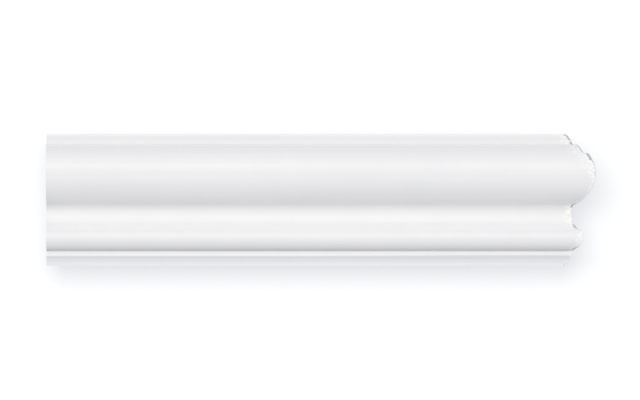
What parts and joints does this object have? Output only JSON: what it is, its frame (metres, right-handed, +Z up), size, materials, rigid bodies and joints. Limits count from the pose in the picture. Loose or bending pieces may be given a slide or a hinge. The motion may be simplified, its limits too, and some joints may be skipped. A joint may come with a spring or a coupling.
{
  "type": "casing moulding",
  "caption": "Length of white profiled casing with torus, neck, bead and fillets, flat-backed for fixing to a wall, cut square at one end and mitred at the other.",
  "frame": {"origin": "middle of the flat back, which lies against the wall", "axes": "+X along the run towards the mitred end, +Y out of the back into the wall, +Z up the wall towards the torus"},
  "size_m": [0.37, 0.027, 0.0888],
  "materials": {
    "primer_white": "satin-matte white skin on rigid trim that is white all through, ragged along the mitre's edge"
  },
  "bodies": {
    "root": {"casing_moulding": "primer_white"}
  },
  "joints": []
}
